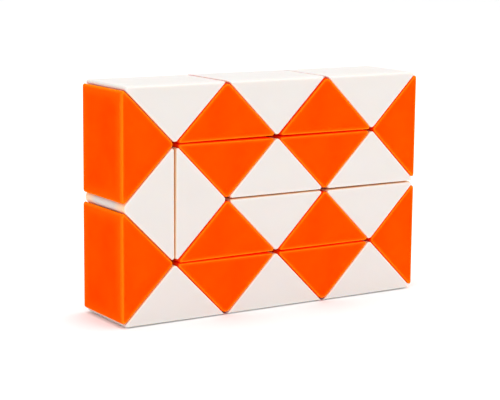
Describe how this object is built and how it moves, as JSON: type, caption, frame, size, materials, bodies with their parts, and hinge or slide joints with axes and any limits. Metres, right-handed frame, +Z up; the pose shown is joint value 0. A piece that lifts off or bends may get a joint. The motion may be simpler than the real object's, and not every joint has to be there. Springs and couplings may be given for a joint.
{
  "type": "twisty snake puzzle",
  "caption": "Twisty snake puzzle of alternating orange and off-white right-isosceles wedges on sprung pivots, folded into its flat rectangular block and standing on a long edge.",
  "frame": {"origin": "middle of the block's bottom face, on the surface that it stands on", "axes": "+X along the block's long edge, +Y from the front face to the back, +Z up"},
  "size_m": [0.0802, 0.019, 0.0532],
  "materials": {
    "orange_plastic": "satin moulded plastic",
    "off_white_plastic": "satin moulded plastic",
    "pivot_steel": "zinc-plated"
  },
  "bodies": {
    "link_01": {"wedge_01": "orange_plastic", "plug_first": "orange_plastic"},
    "link_02": {"wedge_02": "off_white_plastic", "pivot_01": "pivot_steel"},
    "link_03": {"wedge_03": "orange_plastic", "pivot_02": "pivot_steel"},
    "link_04": {"wedge_04": "off_white_plastic", "pivot_03": "pivot_steel"},
    "link_05": {"wedge_05": "orange_plastic", "pivot_04": "pivot_steel"},
    "link_06": {"wedge_06": "off_white_plastic", "pivot_05": "pivot_steel"},
    "link_07": {"wedge_07": "orange_plastic", "pivot_06": "pivot_steel"},
    "link_08": {"wedge_08": "off_white_plastic", "pivot_07": "pivot_steel"},
    "link_09": {"wedge_09": "orange_plastic", "pivot_08": "pivot_steel"},
    "link_10": {"wedge_10": "off_white_plastic", "pivot_09": "pivot_steel"},
    "link_11": {"wedge_11": "orange_plastic", "pivot_10": "pivot_steel"},
    "link_12": {"wedge_12": "off_white_plastic", "pivot_11": "pivot_steel"},
    "link_13": {"wedge_13": "orange_plastic", "pivot_12": "pivot_steel"},
    "link_14": {"wedge_14": "off_white_plastic", "pivot_13": "pivot_steel"},
    "link_15": {"wedge_15": "orange_plastic", "pivot_14": "pivot_steel"},
    "link_16": {"wedge_16": "off_white_plastic", "pivot_15": "pivot_steel"},
    "link_17": {"wedge_17": "orange_plastic", "pivot_16": "pivot_steel"},
    "link_18": {"wedge_18": "off_white_plastic", "pivot_17": "pivot_steel"},
    "link_19": {"wedge_19": "orange_plastic", "pivot_18": "pivot_steel"},
    "link_20": {"wedge_20": "off_white_plastic", "pivot_19": "pivot_steel"},
    "link_21": {"wedge_21": "orange_plastic", "pivot_20": "pivot_steel"},
    "link_22": {"wedge_22": "off_white_plastic", "pivot_21": "pivot_steel"},
    "link_23": {"wedge_23": "orange_plastic", "pivot_22": "pivot_steel"},
    "link_24": {"wedge_24": "off_white_plastic", "pivot_23": "pivot_steel", "plug_last": "off_white_plastic"}
  },
  "joints": [
    {"name": "hinge_01", "type": "hinge", "parent": "link_02", "child": "link_01", "pos_m": [0.03359, 0, 0.00647], "axis": [-0.7071, 0, -0.7071], "range_deg": [-180, 180]},
    {"name": "hinge_02", "type": "hinge", "parent": "link_03", "child": "link_02", "pos_m": [0.02015, 0, 0.00647], "axis": [-0.7071, 0, 0.7071], "continuous": true},
    {"name": "hinge_03", "type": "hinge", "parent": "link_04", "child": "link_03", "pos_m": [0.00672, 0, 0.00647], "axis": [-0.7071, 0, -0.7071], "range_deg": [-180, 180]},
    {"name": "hinge_04", "type": "hinge", "parent": "link_04", "child": "link_05", "pos_m": [-0.00672, 0, 0.00647], "axis": [0.7071, 0, -0.7071], "range_deg": [-50, 50]},
    {"name": "hinge_05", "type": "hinge", "parent": "link_05", "child": "link_06", "pos_m": [-0.02015, 0, 0.00647], "axis": [0.7071, 0, 0.7071], "range_deg": [-180, 180]},
    {"name": "hinge_06", "type": "hinge", "parent": "link_06", "child": "link_07", "pos_m": [-0.03359, 0, 0.00647], "axis": [0.7071, 0, -0.7071], "range_deg": [-180, 180]},
    {"name": "hinge_07", "type": "hinge", "parent": "link_07", "child": "link_08", "pos_m": [-0.03359, 0, 0.0199], "axis": [0.7071, 0, 0.7071], "range_deg": [-180, 180]},
    {"name": "hinge_08", "type": "hinge", "parent": "link_08", "child": "link_09", "pos_m": [-0.03359, 0, 0.03334], "axis": [0.7071, 0, -0.7071], "range_deg": [-180, 180]},
    {"name": "hinge_09", "type": "hinge", "parent": "link_09", "child": "link_10", "pos_m": [-0.03359, 0, 0.04677], "axis": [0.7071, 0, 0.7071], "range_deg": [-180, 180]},
    {"name": "hinge_10", "type": "hinge", "parent": "link_10", "child": "link_11", "pos_m": [-0.02015, 0, 0.04677], "axis": [0.7071, 0, -0.7071], "range_deg": [-180, 180]},
    {"name": "hinge_11", "type": "hinge", "parent": "link_11", "child": "link_12", "pos_m": [-0.00672, 0, 0.04677], "axis": [0.7071, 0, 0.7071], "range_deg": [-180, 180]},
    {"name": "hinge_12", "type": "hinge", "parent": "link_12", "child": "link_13", "pos_m": [0.00672, 0, 0.04677], "axis": [0.7071, 0, -0.7071], "range_deg": [-180, 180]},
    {"name": "hinge_13", "type": "hinge", "parent": "link_13", "child": "link_14", "pos_m": [0.02015, 0, 0.04677], "axis": [0.7071, 0, 0.7071], "range_deg": [-180, 180]},
    {"name": "hinge_14", "type": "hinge", "parent": "link_14", "child": "link_15", "pos_m": [0.03359, 0, 0.04677], "axis": [0.7071, 0, -0.7071], "range_deg": [-180, 180]},
    {"name": "hinge_15", "type": "hinge", "parent": "link_15", "child": "link_16", "pos_m": [0.03359, 0, 0.03334], "axis": [0.7071, 0, 0.7071], "range_deg": [-180, 180]},
    {"name": "hinge_16", "type": "hinge", "parent": "link_16", "child": "link_17", "pos_m": [0.02015, 0, 0.03334], "axis": [0.7071, 0, -0.7071], "range_deg": [-180, 180]},
    {"name": "hinge_17", "type": "hinge", "parent": "link_17", "child": "link_18", "pos_m": [0.00672, 0, 0.03334], "axis": [0.7071, 0, 0.7071], "range_deg": [-180, 180]},
    {"name": "hinge_18", "type": "hinge", "parent": "link_18", "child": "link_19", "pos_m": [-0.00672, 0, 0.03334], "axis": [0.7071, 0, -0.7071], "range_deg": [-180, 180]},
    {"name": "hinge_19", "type": "hinge", "parent": "link_19", "child": "link_20", "pos_m": [-0.02015, 0, 0.03334], "axis": [0.7071, 0, 0.7071], "range_deg": [-180, 180]},
    {"name": "hinge_20", "type": "hinge", "parent": "link_20", "child": "link_21", "pos_m": [-0.02015, 0, 0.0199], "axis": [0.7071, 0, -0.7071], "range_deg": [-180, 180]},
    {"name": "hinge_21", "type": "hinge", "parent": "link_21", "child": "link_22", "pos_m": [-0.00672, 0, 0.0199], "axis": [0.7071, 0, 0.7071], "range_deg": [-180, 180]},
    {"name": "hinge_22", "type": "hinge", "parent": "link_22", "child": "link_23", "pos_m": [0.00672, 0, 0.0199], "axis": [0.7071, 0, -0.7071], "range_deg": [-180, 180]},
    {"name": "hinge_23", "type": "hinge", "parent": "link_23", "child": "link_24", "pos_m": [0.02015, 0, 0.0199], "axis": [0.7071, 0, 0.7071], "range_deg": [-180, 180]}
  ],
  "couplings": [
    {"joint": "hinge_01", "follows": "hinge_04", "ratio": -0.3526},
    {"joint": "hinge_03", "follows": "hinge_04", "ratio": -0.3526},
    {"joint": "hinge_05", "follows": "hinge_04", "ratio": 0.2008},
    {"joint": "hinge_06", "follows": "hinge_04", "ratio": -0.4692},
    {"joint": "hinge_07", "follows": "hinge_04", "ratio": -0.2143},
    {"joint": "hinge_08", "follows": "hinge_04", "ratio": 0.3173},
    {"joint": "hinge_09", "follows": "hinge_04", "ratio": 0.7361},
    {"joint": "hinge_10", "follows": "hinge_04", "ratio": -0.2323},
    {"joint": "hinge_11", "follows": "hinge_04", "ratio": -0.597},
    {"joint": "hinge_12", "follows": "hinge_04", "ratio": -0.1594},
    {"joint": "hinge_13", "follows": "hinge_04", "ratio": -0.0805},
    {"joint": "hinge_14", "follows": "hinge_04", "ratio": 0.2248},
    {"joint": "hinge_15", "follows": "hinge_04", "ratio": -0.0962},
    {"joint": "hinge_16", "follows": "hinge_04", "ratio": -0.0481},
    {"joint": "hinge_17", "follows": "hinge_04", "ratio": 0.5887},
    {"joint": "hinge_18", "follows": "hinge_04", "ratio": 0.1677},
    {"joint": "hinge_19", "follows": "hinge_04", "ratio": -0.282},
    {"joint": "hinge_20", "follows": "hinge_04", "ratio": -0.0564},
    {"joint": "hinge_21", "follows": "hinge_04", "ratio": 0.1707},
    {"joint": "hinge_22", "follows": "hinge_04", "ratio": -0.8188},
    {"joint": "hinge_23", "follows": "hinge_04", "ratio": 0.2774}
  ]
}
